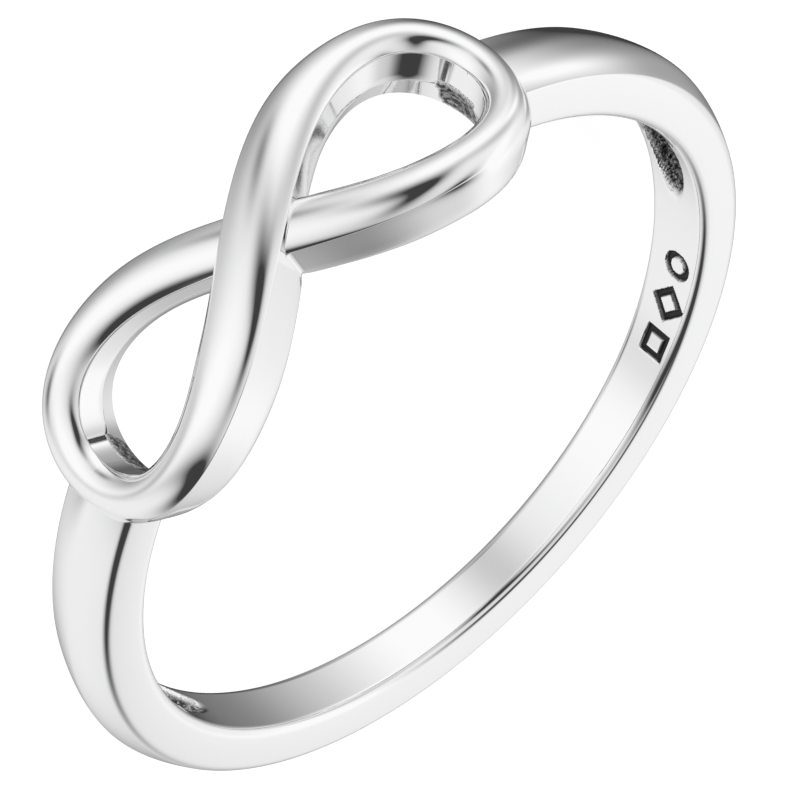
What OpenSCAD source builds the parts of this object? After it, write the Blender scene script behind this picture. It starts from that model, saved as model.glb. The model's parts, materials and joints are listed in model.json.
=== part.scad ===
// Infinity ring: a tapered finger ring whose head is a figure-eight of two crossing strands.
// The ring lies on its side. Its finger axis is nearly upright and its head faces -Y.

/* [Finger] */
// Diameter of the finger hole
finger_d = 17; // [14:0.1:22]

/* [Shank] */
// Thickness of the metal opposite the head
base_t = 1.5; // [0.9:0.05:2]
// Extra thickness of the shank under the head, against the base
shank_rise = 0.04; // [0:0.02:1]
// Width of the shank opposite the head
base_w = 1.35; // [1.2:0.05:3]
// Width that the shank would have under the head
top_w = 2.15; // [1.6:0.05:3]
// Radius of the crown across the outside of the shank
crown_r = 2.2; // [1.6:0.1:6]

/* [Head] */
// Length of the figure-eight along the curve of the finger
head_l = 14.06; // [11:0.05:17]
// Width of the figure-eight along the finger axis
head_w = 4.82; // [4:0.05:6]
// Radius from the finger axis to the edge between the walls and the rounded top at the loop ends
edge_r = 10; // [9.8:0.05:10.6]
// Width of the strands at the loop ends
end_w = 0.92; // [0.8:0.02:1.2]
// Width of the over strand where it crosses
over_w = 1.5; // [1:0.05:2]
// Width of the under strand where it crosses
under_w = 1.3; // [1:0.05:2]
// Height of the rounded top at the loop ends
end_crown = 0.4; // [0.2:0.02:0.5]
// Height of the rounded top at the crossing
mid_crown = 0.31; // [0.2:0.01:0.5]
// How far the over strand climbs at the crossing
over_rise = 0.3; // [0.1:0.02:0.5]
// How far the under strand dips at the crossing
under_dip = 0.11; // [0:0.01:0.3]

/* [Underside] */
// Radius of the round recess under each loop
recess_r = 1.76; // [1.4:0.02:1.8]
// Width of the hollow inside each shoulder
hollow_w = 1.2; // [0.6:0.05:1.4]
// Depth of the hollow at the loop end
hollow_depth = 0.7; // [0.3:0.05:0.8]
// Angle from the head at which the hollow runs out
hollow_end = 110; // [80:1:120]

/* [Hidden] */
$fn = 180;

bore_r = finger_d / 2;
slack = 1;

// Shank: the outside is a turned crown whose centre is set off from the finger axis towards the head.
outer_shift = shank_rise / 2;
outer_r = bore_r + base_t + outer_shift;
blank_w = top_w + slack;
side_slope = (top_w - base_w) / 2 / (2 * outer_r);
side_angle = atan(side_slope);
mid_half_w = (top_w + base_w) / 4;

// Loops: the middle line of the strands, as a figure-eight in arc length and height.
lobe_l = (head_l - end_w) / 2;
lobe_third = -0.069;
lobe_fifth = 0.037;
lobe_scale = 1 - lobe_third + lobe_fifth;
lobe_h = (head_w - end_w) / 2;
wave_fourth = -0.08;
wave_sixth = 0.06;
wave_scale = 1 - wave_sixth;
arc_r = 9.6;
step = 3;
crown_edge = 66;
crown_step = 11;
wall_draft = 0.03;

// Underside of the strands: a sharp edge inside the loops, a keel just clear of the finger
// and a rounded outer edge.
keel_r = bore_r + 0.06;
inner_foot_r = 9.22;
outer_foot_r = 9.1;
outer_foot_dip = 0.4;
keel_inset = 0.39;
round_inset = 0.12;
round_height = 0.33;
round_drop = 0.1;

// Recess and hollow.
recess_x = 3.7;
recess_top_y = 7.3;
recess_upper_r = 2.05;
hollow_tube_r = 1.3;
loop_end_angle = 40;
hollow_slope = hollow_depth / (cos(loop_end_angle) - cos(hollow_end));
hollow_r = bore_r - hollow_slope * cos(hollow_end);

function clamp01(x) = max(0, min(1, x));
function smooth(x) = let (c = clamp01(x)) c * c * (3 - 2 * c);
function mix(a, b, k) = a + (b - a) * k;

// Middle line at t degrees: t = 0 is the upper crossing, 90 and 270 the loop ends, 180 the lower crossing.
function along(t) = lobe_l * (sin(t) + lobe_third * sin(3 * t) + lobe_fifth * sin(5 * t)) / lobe_scale;
function height(t) = lobe_h * (sin(2 * t) + wave_fourth * sin(4 * t) + wave_sixth * sin(6 * t)) / wave_scale;
function along_rate(t) = lobe_l * (cos(t) + 3 * lobe_third * cos(3 * t) + 5 * lobe_fifth * cos(5 * t));
function height_rate(t) =
    lobe_h * (2 * cos(2 * t) + 4 * wave_fourth * cos(4 * t) + 6 * wave_sixth * cos(6 * t));
function across(t) =
    let (a = along_rate(t) / lobe_scale, h = height_rate(t) / wave_scale, n = norm([a, h])) [-h / n, a / n];

// Nearness to the crossing, 0 at the loop ends and 1 where the strands cross.
function nearness(t, power) = pow(abs(cos(t)), power);
function is_over(t) = cos(t) > 0;
function half_w(t) = mix(end_w, is_over(t) ? over_w : under_w, nearness(t, 2.2)) / 2;
function edge_at(t) = edge_r + (is_over(t) ? over_rise : -under_dip) * nearness(t, 2.7);
function crown_at(t) = mix(end_crown, mid_crown, nearness(t, 2));

// 1 where the given side of the strand (-1 or 1) faces into a loop, 0 where it faces out.
function faces_in(t, side) = smooth(0.5 - 4 * side * sin(t));

// Wraps arc length s and height y at radius r round the finger.
function wrap(s, y, r) = let (a = s / arc_r * 180 / PI) [-r * sin(a), -r * cos(a), -y];

// One section across a strand, as [offset, radius] rows from the foot of one wall, over the top, to the other.
function foot(t, side) =
    let (
        w = half_w(t) - wall_draft,
        inward = faces_in(t, side),
        foot_r = mix(outer_foot_r - outer_foot_dip * nearness(t, 6), inner_foot_r, inward),
        bend = mix(round_inset, keel_inset / 2, inward),
        outer_bend_r = foot_r - round_height * (foot_r - keel_r) - round_drop,
        bend_r = mix(outer_bend_r, (foot_r + keel_r) / 2, inward)
    )
    [[side * w, foot_r], [side * (w - bend), bend_r], [side * (w - keel_inset), keel_r]];
function top(t) =
    let (w = half_w(t), base = edge_at(t), rise = crown_at(t), drop = 1 - cos(crown_edge))
    [for (a = [-crown_edge : crown_step : crown_edge])
        [w * sin(a) / sin(crown_edge), base + rise * (cos(a) - cos(crown_edge)) / drop]];
function reversed(list) = [for (i = [len(list) - 1 : -1 : 0]) list[i]];
function section(t) = concat(reversed(foot(t, -1)), top(t), foot(t, 1));
function station(t) =
    let (s = along(t), y = height(t), n = across(t))
    [for (p = section(t)) wrap(s + n[0] * p[0], y + n[1] * p[0], p[1])];

// A strand swept from one loop end to the other.
module strand(first) {
    rings = [for (t = [first : step : first + 180]) station(t)];
    count = len(rings[0]);
    last = len(rings) - 1;
    sides = [for (i = [0 : last - 1], j = [0 : count - 1])
        let (k = (j + 1) % count, a = i * count, b = a + count)
        each [[a + j, b + k, b + j], [a + j, a + k, b + k]]];
    caps = [[for (j = [count - 1 : -1 : 0]) j], [for (j = [0 : count - 1]) last * count + j]];
    polyhedron(points = [for (r = rings) each r], faces = concat(sides, caps), convexity = 6);
}

// Turned body of the shank before its sides are cut.
module shank_blank() {
    translate([0, -outer_shift, 0])
        rotate_extrude()
            intersection() {
                translate([outer_r - crown_r, 0]) circle(crown_r);
                translate([bore_r - slack, -blank_w / 2])
                    square([base_t + shank_rise + 2 * slack, blank_w]);
            }
}

// Everything beyond one flat side of the shank, which slopes so that the shank narrows away from the head.
module side_cut() {
    translate([0, 0, mid_half_w])
        rotate([-side_angle, 0, 0])
            translate([-2 * bore_r, -2 * bore_r, 0]) cube([4 * bore_r, 4 * bore_r, 2 * slack]);
}

// Clears the inside of the loops, and leaves the shoulders under their ends.
module loop_clearance() {
    for (side = [-1, 1])
        translate([side * recess_x, 0, 0])
            rotate([90, 0, 0]) {
                cylinder(h = 2 * bore_r, r = recess_r);
                translate([0, 0, recess_top_y]) cylinder(h = bore_r, r = recess_upper_r);
            }
    translate([-recess_x, -2 * bore_r, -2 * recess_r]) cube([2 * recess_x, 2 * bore_r, 4 * recess_r]);
}

module shank() {
    difference() {
        shank_blank();
        side_cut();
        mirror([0, 0, 1]) side_cut();
        loop_clearance();
    }
}

// Hollow inside the shoulders: a round groove, deepest at the loop ends, which runs out along the shank.
module shoulder_hollow() {
    intersection() {
        translate([0, -hollow_slope, 0])
            rotate_extrude()
                translate([hollow_r - hollow_tube_r, 0]) circle(hollow_tube_r);
        difference() {
            translate([-2 * bore_r, -2 * bore_r, -hollow_w / 2]) cube([4 * bore_r, 4 * bore_r, hollow_w]);
            translate([-recess_x, -2 * bore_r, -hollow_w]) cube([2 * recess_x, 2 * bore_r, 2 * hollow_w]);
        }
    }
}

// The ring about its finger axis, before it is laid down.
module ring_on_axis() {
    difference() {
        union() {
            shank();
            strand(-90);
            strand(90);
        }
        cylinder(h = 4 * top_w, r = bore_r, center = true);
        shoulder_hollow();
    }
}

// How it lies: tipped until the loops and the back of the shank are equally low.
crown_y = outer_r - outer_shift - crown_r;
back_ridge_z = mid_half_w - side_slope * (crown_y + crown_r);
back_ridge_y = crown_y + sqrt(pow(crown_r, 2) - pow(back_ridge_z, 2));
head_points = [for (t = [0 : step : 360 - step]) each station(t)];
function tipped_z(y, z, tip) = y * sin(tip) + z * cos(tip);
function head_low(tip) = min([for (p = head_points) tipped_z(p[1], p[2], tip)]);
function back_low(tip) = tipped_z(back_ridge_y, -back_ridge_z, tip);
function rest_tip(low, high, turns) =
    let (tip = (low + high) / 2)
    turns == 0 ? tip
    : head_low(tip) < back_low(tip) ? rest_tip(low, tip, turns - 1)
    : rest_tip(tip, high, turns - 1);
tip = rest_tip(-12, 0, 14);
front_y = min([for (p = head_points) p[1] * cos(tip) - p[2] * sin(tip)]);
back_y = crown_y * cos(tip) + crown_r;

module ring() {
    color("silver")
        translate([0, -(front_y + back_y) / 2, -back_low(tip)])
            rotate([tip, 0, 0])
                ring_on_axis();
}

ring();
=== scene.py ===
import bpy
import json
import math
import numpy as np
from mathutils import Matrix


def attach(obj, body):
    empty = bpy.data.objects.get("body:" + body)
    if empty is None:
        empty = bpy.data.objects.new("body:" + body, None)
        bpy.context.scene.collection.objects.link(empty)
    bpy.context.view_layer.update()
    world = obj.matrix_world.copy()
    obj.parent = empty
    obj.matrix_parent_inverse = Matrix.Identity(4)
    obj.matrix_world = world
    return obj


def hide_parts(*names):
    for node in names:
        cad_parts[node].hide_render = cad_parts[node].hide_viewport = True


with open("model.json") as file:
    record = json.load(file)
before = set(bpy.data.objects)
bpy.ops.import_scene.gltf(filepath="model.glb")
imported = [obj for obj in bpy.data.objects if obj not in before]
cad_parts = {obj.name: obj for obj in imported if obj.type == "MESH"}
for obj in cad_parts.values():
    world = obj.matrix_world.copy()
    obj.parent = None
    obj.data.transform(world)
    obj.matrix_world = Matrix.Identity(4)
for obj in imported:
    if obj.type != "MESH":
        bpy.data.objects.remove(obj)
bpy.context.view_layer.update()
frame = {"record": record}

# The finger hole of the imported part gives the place, the tilt and the scale of everything below.
hole = [m for m in frame["record"]["mounts"] if m["name"] == "finger_hole"][0]
holeCentre = np.array(hole["pos_m"])
fingerAxis = np.array(hole["axis"]) / np.linalg.norm(hole["axis"])
sideAxis = np.array([1.0, 0.0, 0.0])
backAxis = np.cross(fingerAxis, sideAxis)
boreR = hole["dims"]["r_mm"]
mm = 0.001


def smooth(x):
    # Smooth step: 3x^2 - 2x^3 on x held between 0 and 1.
    x = np.clip(x, 0, 1)
    return x * x * (3 - 2 * x)


def bump(turn, place, width, power=2):
    # exp(-((turn - place) / width)^power): 1 at the place, falling to 0 on both sides of it
    return np.exp(-(((turn - place) / width) ** power))


def placed(radius, angle, across):
    # Polar place in mm and radians round the finger axis, as a point in metres.
    # point = centre - side*r*sin(angle) - back*r*cos(angle) - axis*across;
    # angle 0 is the middle of the head.
    radius, angle, across = np.broadcast_arrays(radius, angle, across)
    return holeCentre + mm * (
        -np.multiply.outer(radius * np.sin(angle), sideAxis)
        - np.multiply.outer(radius * np.cos(angle), backAxis)
        - np.multiply.outer(across, fingerAxis)
    )


def polar(points):
    # The inverse of placed: radius in mm, angle in radians and distance across in mm of each point.
    local = (points - holeCentre) / mm
    x, z, y = -local @ sideAxis, -local @ backAxis, -local @ fingerAxis
    return np.hypot(x, z), np.arctan2(x, z), y


def meshFromGrid(name, grid):
    # A closed tube from a grid of points [station, around]: quads between neighbours,
    # and a flat fan at each end.
    stations, around = grid.shape[:2]
    i, j = np.meshgrid(np.arange(stations - 1), np.arange(around), indexing="ij")
    a, b = i * around + j, i * around + (j + 1) % around
    quads = np.stack([a, b, b + around, a + around], -1).reshape(-1, 4)
    last = (stations - 1) * around
    k = np.arange(1, around - 1)
    first = np.stack([0 * k, k + 1, k], -1)
    end = np.stack([last + 0 * k, last + k, last + k + 1], -1)
    mesh = bpy.data.meshes.new(name)
    faces = quads.tolist() + first.tolist() + end.tolist()
    mesh.from_pydata(grid.reshape(-1, 3).tolist(), [], faces)
    mesh.validate()
    piece = bpy.data.objects.new(name, mesh)
    bpy.context.scene.collection.objects.link(piece)
    if signedVolume(mesh) < 0:
        mesh.flip_normals()
    return piece


def link(tree, source, target):
    tree.links.new(source, target)


def signedVolume(mesh):
    # Sum of the tetrahedra between the origin and each triangle: a . (b x c) / 6.
    mesh.calc_loop_triangles()
    corners = np.empty(len(mesh.loop_triangles) * 3, np.int32)
    mesh.loop_triangles.foreach_get("vertices", corners)
    points = np.empty(len(mesh.vertices) * 3, np.float32)
    mesh.vertices.foreach_get("co", points)
    a, b, c = points.reshape(-1, 3)[corners.reshape(-1, 3)].transpose(1, 0, 2).astype(float)
    return float(np.einsum("ij,ij->i", a, np.cross(b, c)).sum() / 6)


# Camera: where it stands against the ring itself, before the ring was laid down.
camera = {
    "turn": -8.29,  # degrees about the head's middle line
    "lift": 60.24,  # degrees above the side of the ring
    "roll": -39.96,  # degrees of tilt of the picture
    "distance": 350.0,  # mm from the ring's centre
    "shiftRight": -0.025,  # mm
    "shiftUp": 0.105,  # mm
    "scale": 43.98,  # picture points per mm at the ring's centre
    "picture": 800,  # picture width and height in points
    "sensor": 36.0,  # mm
}


def makeCamera():
    turn, lift, roll = (math.radians(camera[k]) for k in ("turn", "lift", "roll"))
    back = np.array([math.sin(turn) * math.cos(lift), -math.cos(turn) * math.cos(lift), math.sin(lift)])
    level = np.array([math.cos(turn), math.sin(turn), 0.0])
    upright = np.cross(back, level)
    right = math.cos(roll) * level + math.sin(roll) * upright
    up = -math.sin(roll) * level + math.cos(roll) * upright
    towards = np.stack([-sideAxis, -fingerAxis, -backAxis])  # the ring's own x, y and z in the scene
    right, up, back = (v @ towards for v in (right, up, back))
    data = bpy.data.cameras.new("camera")
    data.sensor_width = camera["sensor"]
    data.lens = camera["scale"] * camera["distance"] / camera["picture"] * camera["sensor"]
    data.clip_start, data.clip_end = 0.01, 10
    eye = bpy.data.objects.new("camera", data)
    place = holeCentre + mm * (
        camera["distance"] * back + camera["shiftRight"] * right + camera["shiftUp"] * up
    )
    rows = np.column_stack([right, up, back, place])
    eye.matrix_world = Matrix(rows.tolist() + [[0, 0, 0, 1]])
    bpy.context.scene.collection.objects.link(eye)
    bpy.context.scene.camera = eye


makeCamera()
print("camera stands")

# Shank, in mm and degrees. Angles are measured from the middle of the head, positive towards the right.
shank = {
    "start": 30.0,
    "spacing": 1.4,  # degrees between stations
    "fineSpacing": 0.24,  # the same where the marks are punched
    "widthMean": 1.79,
    "widthSwing": 0.38,
    "widthBend": -0.07,
    "farExtra": 0.12,  # the far side is a little fuller on the right
    "farPlace": 107.0,
    "farSpread": 26.0,
    "thickMean": 1.51,
    "thickBend": 0.06,
    "thickLean": -0.03,
    "crownRise": 0.27,
    "crownSlope": 28.0,  # degrees at the edge of the crown
    "sideSlope": 4.0,  # degrees that the side leans in at the ridge
    "innerRound": 0.2,
    "ridgeSharp": 0.04,  # radius of the ridge on the right shoulder
    "ridgeSoft": 0.28,  # and everywhere else
    "softFrom": 55.0,
    "softTo": 90.0,
    "facePoints": 30,  # from the middle of the inner face to its edge
    "roundPoints": 8,
    "sidePoints": 12,
    "ridgePoints": 12,
    "crownPoints": 19,
}

# Pocket inside each shoulder, open under the loop and rounded at its other end.
hollow = {
    "loopEnd": 40.0,
    "roundFrom": 92.0,
    "end": 111.0,
    "loopDepth": 0.7,
    "endDepth": 0.34,
    "across": 0.13,
    "halfWidth": 0.6,
    "soft": 0.24,  # width of the pocket's edge, as a part of its half width
    "spacing": 0.7,  # degrees between stations near its end
    "fineBefore": 4.0,  # degrees by which that stretch is longer than the rounding
    "fineAfter": 3.0,
    "castFrom": 0.6,  # radians from the middle of the head at which the rough metal starts
    "castDepth": (0.03, 0.12),  # depth at which it starts, and over which it comes in
    "castSkin": (0.02, 0.06),
    "castMargin": 0.05,
}

# Three plain punched outlines inside the shank: a ring, a lozenge and a square.
marks = {
    "from": 121.0,
    "to": 144.0,
    "across": -0.12,
    "size": 0.3,
    "lozengeSize": 1.3,  # against the ring's
    "squareSize": 0.9,
    "stroke": 0.075,
    "soft": 0.045,
    "depth": 0.09,
    "darkSkin": (0.01, 0.05),  # depth at which the painted shade starts, and over which it comes in
    "darkFrom": 0.005,
    "darkTo": 0.2,
}


def hollowDepth(angle, across):
    # depth = mix(end depth, loop depth, (cos a - cos end) / (cos loop end - cos end))
    # * smooth step of (1 - e) / soft, with
    # e = |(angle past the start of the rounding / its length, (y - y0) / half width)|
    turn = np.abs(np.degrees(angle))
    turn = np.minimum(turn, 360 - turn)
    cosEnd = math.cos(math.radians(hollow["end"]))
    nearness = (np.cos(angle) - cosEnd) / (math.cos(math.radians(hollow["loopEnd"])) - cosEnd)
    depth = hollow["endDepth"] + (hollow["loopDepth"] - hollow["endDepth"]) * np.clip(nearness, 0, 1)
    past = np.maximum(turn - hollow["roundFrom"], 0) / (hollow["end"] - hollow["roundFrom"])
    edge = np.hypot(past, (across - hollow["across"]) / hollow["halfWidth"])
    return depth * smooth((1 - edge) / hollow["soft"])


def markDepth(angle, across):
    # depth * smooth step of the distance to the nearest outline: |r - a| for the ring,
    # |(|u| + |v|) - 1.3 a| / sqrt 2 for the lozenge, |max(|u|, |v|) - 0.9 a| for the square
    size, step = marks["size"], (marks["to"] - marks["from"]) / 6
    v = across - marks["across"]
    u1, u2, u3 = (boreR * (angle - math.radians(marks["from"] + step * k)) for k in (1, 3, 5))
    ringEdge = np.abs(np.hypot(u1, v) - size)
    lozengeEdge = np.abs(np.abs(u2) + np.abs(v) - marks["lozengeSize"] * size) / math.sqrt(2)
    squareEdge = np.abs(np.maximum(np.abs(u3), np.abs(v)) - marks["squareSize"] * size)
    edge = np.minimum(np.minimum(ringEdge, lozengeEdge), squareEdge)
    return marks["depth"] * smooth((marks["stroke"] + marks["soft"] / 2 - edge) / marks["soft"])


def shankGrid():
    # profile carried round the finger: inner face, inner round, flat side, ridge round and crown, mirrored;
    # the crown is z = T - (T - z1)(y / y1)^m, which leaves the ridge round at the crown's slope
    start, end = shank["start"], 360 - shank["start"]
    softFrom, softTo = hollow["roundFrom"] - hollow["fineBefore"], hollow["end"] + hollow["fineAfter"]
    stretches = (
        (start, softFrom, shank["spacing"]),
        (softFrom, softTo, hollow["spacing"]),
        (softTo, marks["from"], shank["spacing"]),
        (marks["from"], marks["to"], shank["fineSpacing"]),
        (marks["to"], 360 - softTo, shank["spacing"]),
        (360 - softTo, 360 - softFrom, hollow["spacing"]),
        (360 - softFrom, end, shank["spacing"]),
    )
    angle = np.radians(np.concatenate([np.arange(*stretch) for stretch in stretches] + [[end]]))[:, None]
    width = shank["widthMean"] + shank["widthSwing"] * np.cos(angle)
    width += shank["widthBend"] * np.cos(2 * angle)
    fuller = shank["farExtra"] * bump(np.degrees(angle), shank["farPlace"], shank["farSpread"])
    thick = shank["thickMean"] + shank["thickBend"] * np.cos(2 * angle) + shank["thickLean"] * np.sin(angle)
    inner = shank["innerRound"]
    blend = smooth((np.degrees(angle) - shank["softFrom"]) / (shank["softTo"] - shank["softFrom"]))
    ridge = shank["ridgeSharp"] + (shank["ridgeSoft"] - shank["ridgeSharp"]) * blend
    slope, lean = math.radians(shank["crownSlope"]), math.radians(shank["sideSlope"])
    centreZ = thick - shank["crownRise"] - ridge * math.cos(slope)
    sideZ = np.linspace(0, 1, shank["sidePoints"])[None, 1:]
    sideZ = inner + (centreZ + ridge * math.sin(lean) - inner) * sideZ
    leanIn = (sideZ - inner) ** 2 * math.tan(lean) / (2 * (sideZ[:, -1:] - inner))
    ridgeTurn = lean + np.linspace(0, 1, shank["ridgePoints"])[None, 1:] * (math.pi / 2 - slope - lean)

    q = np.linspace(0, 1, shank["facePoints"])[None, :]
    sides = []
    for side in (1, -1):
        half = width / 2 + fuller * (side > 0)
        faceY, sideY = (half - inner) * q, half - leanIn
        faceZ = hollowDepth(angle, side * faceY) + markDepth(angle, side * faceY)
        turn = np.radians(np.linspace(-90, 0, shank["roundPoints"]))[None, 1:]
        roundY, roundZ = half - inner + inner * np.cos(turn), inner + inner * np.sin(turn)
        ridgeY = sideY[:, -1:] + ridge * (np.cos(ridgeTurn) - math.cos(lean))
        ridgeZ = centreZ + ridge * np.sin(ridgeTurn)
        y1, z1 = ridgeY[:, -1:], ridgeZ[:, -1:]
        power = math.tan(slope) * y1 / (thick - z1)
        crownQ = 1 - np.linspace(0, 1, shank["crownPoints"])[None, 1:]
        crownY, crownZ = y1 * crownQ, thick - (thick - z1) * crownQ**power
        sides.append((
            side * np.concatenate([faceY, roundY, sideY, ridgeY, crownY], 1),
            np.concatenate([faceZ, roundZ + 0 * half, sideZ, ridgeZ, crownZ], 1),
        ))
    (y, z), (otherY, otherZ) = sides
    y = np.concatenate([y, otherY[:, -2:0:-1]], 1)
    z = np.concatenate([z, otherZ[:, -2:0:-1]], 1)
    return placed(boreR + z, angle, y)


# Head, in mm: a figure-eight wrapped round the finger.
head = {
    "loopLength": 6.57,
    "third": -0.069,
    "fifth": 0.037,
    "loopHeight": 1.95,
    "fourth": -0.08,
    "sixth": 0.06,
    "wrapRadius": 9.6,
    "stations": 176,
    "edgeRadius": 10.0,
    "endWidth": 0.92,
    "overWidth": 1.5,
    "underWidth": 1.3,
    "endCrown": 0.4,
    "midCrown": 0.31,
    "overRise": 0.3,
    "underDip": 0.11,
    "crownEdge": 66.0,
    "wallDraft": 0.03,
    "innerFoot": 9.22,
    "outerFoot": 9.1,
    "outerFootDip": 0.4,
    "footInset": 0.22,
    "endInset": 0.34,
    "creaseRound": 0.035,
    "leftSwell": 0.1,  # the left loop's end is a little fuller
    "overSwell": 0.1,  # and so is the upper strand where it faces into the left loop
    "farSwell": 0.08,  # and both loops where they meet the far side of the shank
    "leftSkirt": 0.3,  # how far its wall spreads where it meets the shank
    "rightSkirt": 0.25,
    "filletRadius": 0.16,  # in the notches where the strands' outer walls meet
    "filletInset": 0.06,
    "filletDepth": 0.25,
    "topPoints": 35,
    "wallPoints": 9,
    "creasePoints": 5,
    "filletPoints": 14,
    "filletHeight": 1.14,
    "filletGap": 0.03,  # how far its top stays under the crease
    "filletRows": 6,
    "notchReach": 16,  # degrees along the middle line in which the corner is looked for
    "notchSteps": 400,
    "notchAhead": 60,  # steps past the corner that give the walls' directions
    "wallBend": 1.6,  # how the wall's rows crowd towards the crease
    "skirtEnd": 1.8,
    "keelRise": 0.06,  # how far the strands clear the finger where they cross
    "cutterInside": 7.0,  # radii between which the loops are cut open
    "cutterOutside": 12.0,
    "cutterTip": 0.02,
    "cutterStart": 4,  # degrees along the middle line
    "cutterPoints": 40,
    "sharpFrom": 26,  # degrees between faces at which an edge stays crisp
}

# Where along the middle line each uneven part of the head is fullest, and how far it spreads, in degrees.
spread = {
    "leftEnd": (270, 28),
    "leftFoot": (267, 17),
    "rightNear": (90, 34),
    "rightFar": (90, 15),
    "inLeft": (-45, 26),
    "farRight": (72, 14),
    "farLeft": (257, 14),
}


def middleLine(t):
    # s = L (sin t + a3 sin 3t + a5 sin 5t) / k round the finger,
    # y = H (sin 2t + a4 sin 4t + a6 sin 6t) / m along its axis, and the unit normal (-dy, ds) / |(ds, dy)|
    length, k = head["loopLength"], 1 - head["third"] + head["fifth"]
    rise, m = head["loopHeight"], 1 - head["sixth"]
    a3, a5, a4, a6 = head["third"], head["fifth"], head["fourth"], head["sixth"]
    s = length / k * (np.sin(t) + a3 * np.sin(3 * t) + a5 * np.sin(5 * t))
    y = rise / m * (np.sin(2 * t) + a4 * np.sin(4 * t) + a6 * np.sin(6 * t))
    ds = length / k * (np.cos(t) + 3 * a3 * np.cos(3 * t) + 5 * a5 * np.cos(5 * t))
    dy = rise / m * (2 * np.cos(2 * t) + 4 * a4 * np.cos(4 * t) + 6 * a6 * np.cos(6 * t))
    long = np.hypot(ds, dy)
    return s, y, -dy / long, ds / long


def strandSizes(t, over):
    # half width = mix(end, middle, |cos t|^2.2) / 2, crease radius = R + lift |cos t|^2.7,
    # crown = mix(end, middle, |cos t|^2)
    near = np.abs(np.cos(t))
    width = head["overWidth"] if over else head["underWidth"]
    lift = head["overRise"] if over else -head["underDip"]
    half = (head["endWidth"] + (width - head["endWidth"]) * near**2.2) / 2
    crown = head["endCrown"] + (head["midCrown"] - head["endCrown"]) * near**2
    return half, head["edgeRadius"] + lift * near**2.7, crown


def cornerCut(first, corner, last, size, count):
    # a small round at a corner: the quadratic curve (1-q)^2 a + 2q(1-q) corner + q^2 b
    # between points a and b beside it
    def beside(p):
        d = p - corner
        return corner + size * d / np.linalg.norm(d, axis=-1, keepdims=True)

    a, b = beside(first), beside(last)
    q = np.linspace(0, 1, count)[None, :, None]
    return (1 - q) ** 2 * a + 2 * q * (1 - q) * corner + q**2 * b


def strandGrid(first):
    # a section with a crowned top, two walls and a foot at the finger hole,
    # carried along half of the middle line
    t = np.radians(np.linspace(first, first + 180, head["stations"]))
    over = first < 0
    s, y, normalS, normalY = middleLine(t)
    half, edge, crown = strandSizes(t, over)
    near = np.abs(np.cos(t))[:, None]
    loop = np.sin(t)
    turn, back = np.degrees(t), 360 * over
    leftEnd = bump(turn + back, *spread["leftEnd"])
    leftFoot = bump(turn + back, *spread["leftFoot"])
    rightEnd = np.where(turn < 90, bump(turn, *spread["rightFar"]), bump(turn, *spread["rightNear"]))
    inLeft = bump(turn, *spread["inLeft"], 4) * over
    atFar = bump(turn, *spread["farRight"]) + bump(turn + back, *spread["farLeft"])
    inset = head["endInset"] + (head["footInset"] - head["endInset"]) * near

    def walls(side):
        # crease, wall and foot on one side: straight down into a loop, spreading and rounded outside
        inward = smooth(0.5 - 4 * side * loop)[:, None]
        swell = (head["leftSwell"] * leftEnd + head["farSwell"] * atFar)[:, None] * (1 - inward)
        swell = swell + (head["overSwell"] * inLeft)[:, None] * inward
        skirt = (head["leftSkirt"] * leftFoot + head["rightSkirt"] * rightEnd)[:, None] * (1 - inward)
        w = half[:, None] - head["wallDraft"] + swell
        q = np.linspace(0, 1, head["wallPoints"])[None, 1:]
        bottom = head["outerFoot"] - head["outerFootDip"] * near**6
        bottom = bottom + (head["innerFoot"] - bottom) * inward
        wallR = edge[:, None] + (bottom - edge[:, None]) * q ** head["wallBend"]
        wallU = w + skirt * np.sin(np.minimum(q * head["skirtEnd"], 1) * math.pi / 2)
        keel = boreR + head["keelRise"] * near
        straightU, straightR = w - inset * q, bottom + (keel - bottom) * q
        roundU = w + skirt - (inset + skirt) * (1 - np.cos(q * math.pi / 2))
        roundR = bottom + (keel - bottom) * np.sin(q * math.pi / 2)
        u = np.concatenate([wallU, roundU + (straightU - roundU) * inward], 1)
        r = np.concatenate([wallR, roundR + (straightR - roundR) * inward], 1)
        crease = np.concatenate([w + head["wallDraft"], edge[:, None]], 1)[:, None]
        crease[..., 0] *= side
        return crease, np.stack([side * u, r], -1)

    leftCrease, leftWall = walls(-1)
    rightCrease, rightWall = walls(1)
    a = np.radians(np.linspace(-head["crownEdge"], head["crownEdge"], head["topPoints"]))[None, :]
    q = (np.sin(a) / math.sin(math.radians(head["crownEdge"])) + 1) / 2
    topU = leftCrease[..., 0] * (1 - q) + rightCrease[..., 0] * q
    cosEdge = math.cos(math.radians(head["crownEdge"]))
    topR = edge[:, None] + crown[:, None] * (np.cos(a) - cosEdge) / (1 - cosEdge)
    top = np.stack([topU, topR], -1)
    size, count = head["creaseRound"], head["creasePoints"]
    leftRound = cornerCut(leftWall[:, :1], leftCrease, top[:, 1:2], size, count)
    rightRound = cornerCut(top[:, -2:-1], rightCrease, rightWall[:, :1], size, count)
    profile = np.concatenate([leftWall[:, ::-1], leftRound, top[:, 2:-2], rightRound, rightWall], 1)
    u, r = profile[..., 0], np.maximum(profile[..., 1], boreR)
    angle = (s[:, None] + normalS[:, None] * u) / head["wrapRadius"]
    return placed(r, angle, y[:, None] + normalY[:, None] * u)


def loopCutter(side):
    # a lens between the two halves of the loop's middle line, y = +-y(t) at s(t),
    # from inside the hole to above the head
    t = np.radians(np.concatenate([[head["cutterStart"]], np.linspace(10, 90, head["cutterPoints"])]))
    s, y, _, _ = middleLine(t)
    y[-1] = head["cutterTip"]
    r = np.array([head["cutterInside"]] * 2 + [head["cutterOutside"]] * 2)[None, :]
    corners = np.array([-1, 1, 1, -1])[None, :]
    return placed(r, side * s[:, None] / head["wrapRadius"], y[:, None] * corners)


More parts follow.
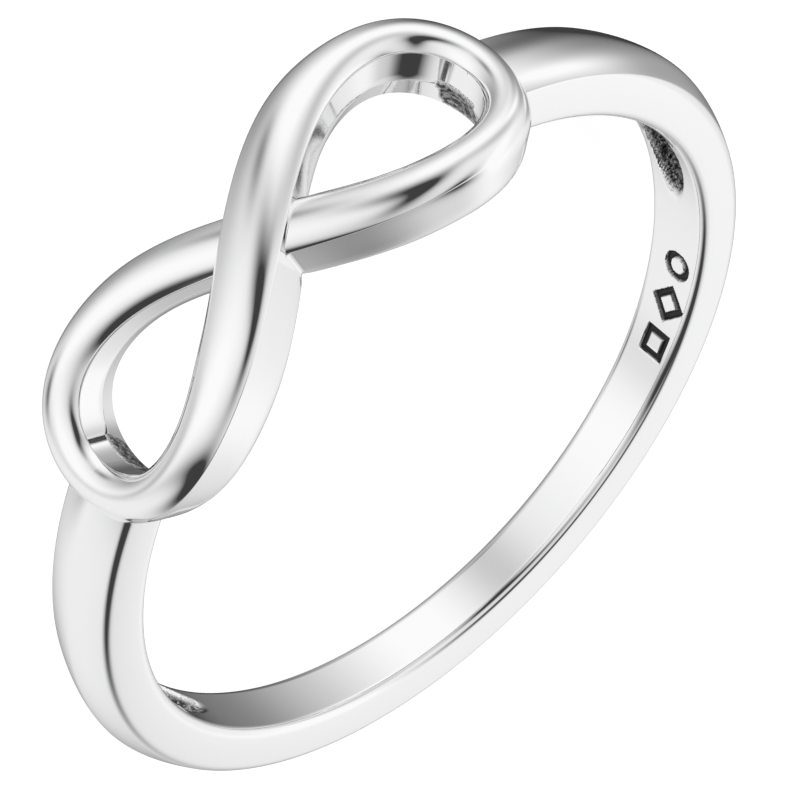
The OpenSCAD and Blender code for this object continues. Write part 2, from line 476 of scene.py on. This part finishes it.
def notchFillet(side):
    # a post in the notch between two outer walls, its outer face an arc tangent to both:
    # tangent points rho / tan(theta / 2) from the corner, arc centre rho / sin(theta / 2) from it
    t = np.radians(np.linspace(0, head["notchReach"], head["notchSteps"]))
    walls = []
    for over in (True, False):
        place = -t if over else math.pi - t
        s, y, normalS, normalY = middleLine(place)
        half = strandSizes(place, over)[0] - head["wallDraft"]
        k = -1 if over else 1
        walls.append(np.stack([s + k * normalS * half, y + k * normalY * half], -1))
    gap = np.linalg.norm(walls[0][:, None] - walls[1][None], axis=-1)
    i, j = np.unravel_index(gap.argmin(), gap.shape)
    corner = (walls[0][i] + walls[1][j]) / 2
    ahead = head["notchAhead"]
    away = [w[k + ahead] - w[k] for w, k in ((walls[0], i), (walls[1], j))]
    away = [d / np.linalg.norm(d) for d in away]
    middle = (away[0] + away[1]) / np.linalg.norm(away[0] + away[1])
    halfAngle = math.acos(float(away[0] @ middle))
    rho = head["filletRadius"]
    centre = corner + middle * rho / math.sin(halfAngle)
    first, last = (corner + d * rho / math.tan(halfAngle) for d in away)
    start = math.atan2(*(first - centre)[::-1])
    sweep = (math.atan2(*(last - centre)[::-1]) - start + math.pi) % (2 * math.pi) - math.pi
    turn = start + sweep * np.linspace(0, 1, head["filletPoints"])
    arc = centre + rho * np.stack([np.cos(turn), np.sin(turn)], -1)
    inside, inset = corner - head["filletDepth"] * middle, head["filletInset"] * middle
    outline = side * np.concatenate([[first - inset], arc, [last - inset], [inside]])
    low = head["edgeRadius"] - head["filletHeight"]
    high = head["edgeRadius"] - head["underDip"] - head["filletGap"]
    r = np.linspace(low, high, head["filletRows"])
    return placed(r[:, None], outline[None, :, 0] / head["wrapRadius"], outline[None, :, 1])


def combine(target, other, operation):
    cut = target.modifiers.new("combine", "BOOLEAN")
    cut.operation, cut.object, cut.solver = operation, other, "MANIFOLD"
    with bpy.context.temp_override(object=target, active_object=target):
        bpy.ops.object.modifier_apply(modifier=cut.name)
    mesh = other.data
    bpy.data.objects.remove(other)
    bpy.data.meshes.remove(mesh)


def makeRing():
    piece = meshFromGrid("silver_ring", shankGrid())
    for side in (-1, 1):
        combine(piece, meshFromGrid("cutter", loopCutter(side)), "DIFFERENCE")
    print("shank cut")
    for first in (-90, 90):
        combine(piece, meshFromGrid("strand", strandGrid(first)), "UNION")
    for side in (-1, 1):
        combine(piece, meshFromGrid("fillet", notchFillet(side)), "UNION")
    mesh = piece.data
    mesh.shade_smooth()
    mesh.set_sharp_from_angle(angle=math.radians(head["sharpFrom"]))
    points = np.empty(len(mesh.vertices) * 3, np.float32)
    mesh.vertices.foreach_get("co", points)
    radius, angle, across = polar(points.reshape(-1, 3).astype(float))
    # how far each point is rough as cast, or rougher and darkened with painted shade in the punched
    # grooves, from 0 to 1, by its depth in mm under the inner face
    under = radius - boreR
    (deepFrom, deepFade), (skin, skinFade) = hollow["castDepth"], hollow["castSkin"]
    cast = smooth((hollowDepth(angle, across) - deepFrom) / deepFade) * smooth((under - skin) / skinFade)
    cast *= (under < hollow["loopDepth"] + hollow["castMargin"]) * (np.abs(angle) > hollow["castFrom"])
    # painted shade: the punched grooves darken from this depth down
    skin, skinFade = marks["darkSkin"]
    punchedAndShaded = smooth((under - skin) / skinFade) * (markDepth(angle, across) > marks["darkFrom"])
    punchedAndShaded *= under < marks["darkTo"]
    for name, values in (("cast", cast), ("punchedAndShaded", punchedAndShaded)):
        layer = mesh.attributes.new(name, "FLOAT", "POINT")
        layer.data.foreach_set("value", values.astype(np.float32))
    print("ring:", len(mesh.polygons), "faces, volume", round(signedVolume(mesh) * 1e9, 1), "mm3")
    return piece


# Polished silver, left rough where it was cast, and rougher with painted shade in the punched grooves.
silver = {
    "colour": (0.925, 0.925, 0.93),
    "castDark": (0.04, 0.04, 0.042),
    "castLight": (0.6, 0.6, 0.605),
    # painted shade: near-black colour in the punched grooves
    "punchShadeColour": (0.05, 0.048, 0.046),
    "roughness": 0.05,
    "castRoughness": 0.42,
    "punchRoughness": 0.5,
    "grain": 15000,  # cells to the metre
    "grainHeight": 0.0001,  # metres
    "noiseScale": 0.6,  # against the grain
    "scratches": 0.03,
    "brushing": (600, 600, 14000),  # cells to the metre of the polishing marks
    "brushRange": (0.35, 0.75),
    "speckleRange": (0.42, 0.66),
}


def makeSilver():
    material = bpy.data.materials.new("polished_silver")
    material.use_nodes = True
    tree = material.node_tree
    shader = tree.nodes["Principled BSDF"]
    shader.inputs["Metallic"].default_value = 1.0

    def add(kind, **settings):
        node = tree.nodes.new("ShaderNode" + kind)
        for name, value in settings.items():
            setattr(node, name, value)
        return node

    def blend(a, b, factor):
        node = add("Mix", data_type="RGBA")
        for socket, value in zip((6, 7), (a, b)):
            if isinstance(value, tuple):
                node.inputs[socket].default_value = (*value, 1)
            else:
                link(tree, value, node.inputs[socket])
        link(tree, factor, node.inputs["Factor"])
        return node.outputs[2]

    def shift(value, target, factor):
        # value + (target - value) * factor
        node = add("Mix", data_type="FLOAT")
        if isinstance(value, float):
            node.inputs[2].default_value = value
        else:
            link(tree, value, node.inputs[2])
        node.inputs[3].default_value = target
        link(tree, factor, node.inputs["Factor"])
        return node.outputs[0]

    def setRange(node, low, high):
        node.inputs["From Min"].default_value = low
        node.inputs["From Max"].default_value = high

    place = add("TexCoord").outputs["Object"]
    cast = add("Attribute", attribute_name="cast").outputs["Fac"]
    punchedAndShaded = add("Attribute", attribute_name="punchedAndShaded").outputs["Fac"]
    grain = add("TexVoronoi")
    grain.inputs["Scale"].default_value = silver["grain"]
    link(tree, place, grain.inputs["Vector"])
    noise = add("TexNoise")
    noise.inputs["Scale"].default_value = silver["grain"] * silver["noiseScale"]
    noise.inputs["Detail"].default_value = 4
    link(tree, place, noise.inputs["Vector"])
    # fine polishing marks: noise drawn out round the finger changes the gloss very slightly
    lines = add("Mapping")
    lines.inputs["Scale"].default_value = silver["brushing"]
    link(tree, place, lines.inputs["Vector"])
    polish = add("TexNoise")
    polish.inputs["Scale"].default_value = 1
    polish.inputs["Detail"].default_value = 3
    link(tree, lines.outputs[0], polish.inputs["Vector"])
    gloss = add("MapRange")
    setRange(gloss, *silver["brushRange"])
    gloss.inputs["To Min"].default_value = silver["roughness"]
    gloss.inputs["To Max"].default_value = silver["roughness"] + silver["scratches"]
    link(tree, polish.outputs["Fac"], gloss.inputs["Value"])
    pits = add("Math", operation="MULTIPLY")
    link(tree, grain.outputs["Distance"], pits.inputs[0])
    link(tree, noise.outputs["Fac"], pits.inputs[1])
    depth = add("Math", operation="MULTIPLY")
    link(tree, pits.outputs[0], depth.inputs[0])
    link(tree, cast, depth.inputs[1])
    relief = add("Bump")
    relief.inputs["Distance"].default_value = silver["grainHeight"]
    link(tree, depth.outputs[0], relief.inputs["Height"])
    link(tree, relief.outputs[0], shader.inputs["Normal"])
    speckle = add("MapRange")
    setRange(speckle, *silver["speckleRange"])
    link(tree, noise.outputs["Fac"], speckle.inputs["Value"])
    rough = blend(silver["castDark"], silver["castLight"], speckle.outputs[0])
    colour = blend(silver["colour"], rough, cast)
    # painted shade: the punched grooves are coloured near-black
    link(tree, blend(colour, silver["punchShadeColour"], punchedAndShaded), shader.inputs["Base Color"])
    roughness = shift(gloss.outputs[0], silver["castRoughness"], cast)
    link(tree, shift(roughness, silver["punchRoughness"], punchedAndShaded), shader.inputs["Roughness"])
    return material


ring = makeRing()
ring.data.materials.clear()
ring.data.materials.append(makeSilver())
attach(ring, "root")
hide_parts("ring")

# Studio: a white room with soft dark flags and a few soft boxes, seen in the polish, over a pale floor.
# Each is (x, y, length, width, turn in degrees, strength) on a flat chart of all directions, centred on the
# direction in which the camera stands: chart radius = 2 sin(angle / 2).
studio = {
    "floorSize": 1.2,
    "floorShade": 0.8,
    "floorGlow": 0.7,
    "floorRoughness": 0.9,
    "brightest": 1.04,
    "darkest": 0.05,
    "room": 0.92,
    "behind": -0.55,  # the room is greyer straight behind the ring, which draws its outline
    "behindWidth": 0.13,
    "flags": [
        (0.05, 0.50, 0.45, 0.20, -40, -0.80),  # dark cards beside the camera
        (0.30, 0.10, 0.20, 0.45, 0, -0.75),
        (0.30, -0.50, 0.50, 0.60, 0, -0.30),
        (0.00, -1.00, 0.65, 0.25, -25, -0.75),  # dark table edge below
        (0.10, -1.35, 0.50, 0.30, 0, -0.70),
        (0.25, -1.65, 0.50, 0.25, 0, -0.45),
        (1.05, -0.70, 0.17, 0.40, 0, -1.00),  # dark strip on the lower right
        (0.85, -1.10, 0.35, 0.15, 40, -0.70),
        (-1.20, 1.30, 1.20, 0.50, 45, -0.55),  # grey wall on the upper left
        (-0.65, 1.00, 0.20, 0.20, 0, -0.50),
        (-1.57, 0.00, 0.20, 0.25, 0, -0.70),
        (-0.70, -0.60, 0.70, 0.18, -30, -0.35),
        (0.30, 1.80, 0.60, 0.30, 0, -0.70),  # dark corner at the top
        (1.00, 1.50, 0.40, 0.25, -40, -0.50),
        (1.50, 1.10, 0.50, 0.15, -55, -0.40),
        (0.90, 0.75, 0.70, 0.25, 5, -0.35),
        (-0.90, 0.10, 0.60, 0.50, 0, 0.15),  # soft boxes on the left, above and on the right
        (0.10, 1.15, 0.70, 0.40, -15, 0.20),
        (1.10, 1.10, 0.25, 0.15, 0, 0.30),
        (1.40, -0.30, 0.20, 0.80, 0, 0.20),
    ],
}


def makeStudio():
    world = bpy.data.worlds.new("studio")
    world.use_nodes = True
    tree = world.node_tree
    direction = tree.nodes.new("ShaderNodeTexCoord").outputs["Generated"]
    eye = np.array(bpy.context.scene.camera.matrix_world)[:3, :3]

    def vectorMath(operation, a, b):
        node = tree.nodes.new("ShaderNodeVectorMath")
        node.operation = operation
        link(tree, a, node.inputs[0])
        if isinstance(b, bpy.types.NodeSocket):
            link(tree, b, node.inputs[1])
        else:
            node.inputs[1].default_value = b
        return node.outputs["Value" if operation == "DOT_PRODUCT" else "Vector"]

    def mathNode(operation, *values):
        node = tree.nodes.new("ShaderNodeMath")
        node.operation = operation
        for socket, value in zip(node.inputs, values):
            if isinstance(value, bpy.types.NodeSocket):
                link(tree, value, socket)
            else:
                socket.default_value = value
        return node.outputs[0]

    across, upward, towards = (vectorMath("DOT_PRODUCT", direction, eye[:, k]) for k in range(3))
    # chart point = direction * sqrt(2 / (1 + towards))
    nearness = mathNode("MAXIMUM", mathNode("ADD", towards, 1.0), 0.001)
    stretch = mathNode("SQRT", mathNode("DIVIDE", 2.0, nearness))
    chart = tree.nodes.new("ShaderNodeCombineXYZ")
    link(tree, mathNode("MULTIPLY", across, stretch), chart.inputs["X"])
    link(tree, mathNode("MULTIPLY", upward, stretch), chart.inputs["Y"])
    # room + behind * exp(-(1 + towards) / behindWidth)
    fade = mathNode("EXPONENT", mathNode("DIVIDE", mathNode("ADD", towards, 1.0), -studio["behindWidth"]))
    light = mathNode("MULTIPLY_ADD", fade, studio["behind"], studio["room"])
    for x, y, length, width, turn, strength in studio["flags"]:
        # light + strength * exp(-(u/length)^2 - (v/width)^2), u and v along and across the flag
        flag = tree.nodes.new("ShaderNodeMapping")
        flag.vector_type = "TEXTURE"
        flag.inputs["Location"].default_value = (x, y, 0)
        flag.inputs["Rotation"].default_value = (0, 0, math.radians(turn))
        flag.inputs["Scale"].default_value = (length, width, 1)
        link(tree, chart.outputs[0], flag.inputs["Vector"])
        distance = vectorMath("DOT_PRODUCT", flag.outputs[0], flag.outputs[0])
        glow = mathNode("EXPONENT", mathNode("MULTIPLY", distance, -1.0))
        light = mathNode("MULTIPLY_ADD", glow, strength, light)
    background = tree.nodes["Background"]
    background.inputs["Color"].default_value = (1, 1, 1, 1)
    light = mathNode("MINIMUM", mathNode("MAXIMUM", light, studio["darkest"]), studio["brightest"])
    link(tree, light, background.inputs["Strength"])
    bpy.context.scene.world = world

    s = studio["floorSize"] / 2
    mesh = bpy.data.meshes.new("floor")
    mesh.from_pydata([(-s, -s, 0), (s, -s, 0), (s, s, 0), (-s, s, 0)], [], [(0, 1, 2, 3)])
    floor = bpy.data.objects.new("floor", mesh)
    bpy.context.scene.collection.objects.link(floor)
    material = bpy.data.materials.new("floor")
    material.use_nodes = True
    shader = material.node_tree.nodes["Principled BSDF"]
    shader.inputs["Base Color"].default_value = (studio["floorShade"],) * 3 + (1,)
    shader.inputs["Roughness"].default_value = studio["floorRoughness"]
    shader.inputs["Emission Color"].default_value = (1, 1, 1, 1)
    shader.inputs["Emission Strength"].default_value = studio["floorGlow"]
    mesh.materials.append(material)
    floor.visible_glossy = False


makeStudio()
bpy.context.scene.view_settings.view_transform = "Standard"
